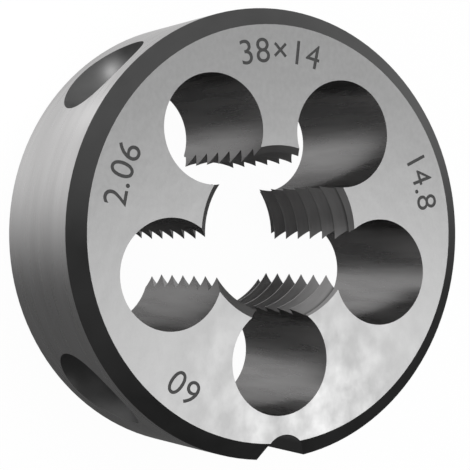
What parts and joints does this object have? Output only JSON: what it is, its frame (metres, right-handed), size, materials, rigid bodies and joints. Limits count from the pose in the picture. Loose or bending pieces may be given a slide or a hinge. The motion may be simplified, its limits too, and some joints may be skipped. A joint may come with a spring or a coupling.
{
  "type": "round threading die",
  "caption": "Solid round die of tool steel with a left-handed threaded bore, round chip holes around it, chamfered rims, and a notch and screw recesses in the rim.",
  "frame": {"origin": "on the axis of the threaded bore, at the back face, which lies on the ground", "axes": "+Z along the bore axis from the back face to the front face, -Y towards the chip hole that the notch in the rim lies beside, +X to the right of that when the front face is looked at"},
  "size_m": [0.038, 0.0379, 0.014],
  "materials": {
    "tool_steel": "hardened high-speed tool steel: ground faces, brushed rim, dark tempered chamfers and holes"
  },
  "bodies": {
    "root": {"threading_die": "tool_steel"}
  },
  "joints": []
}
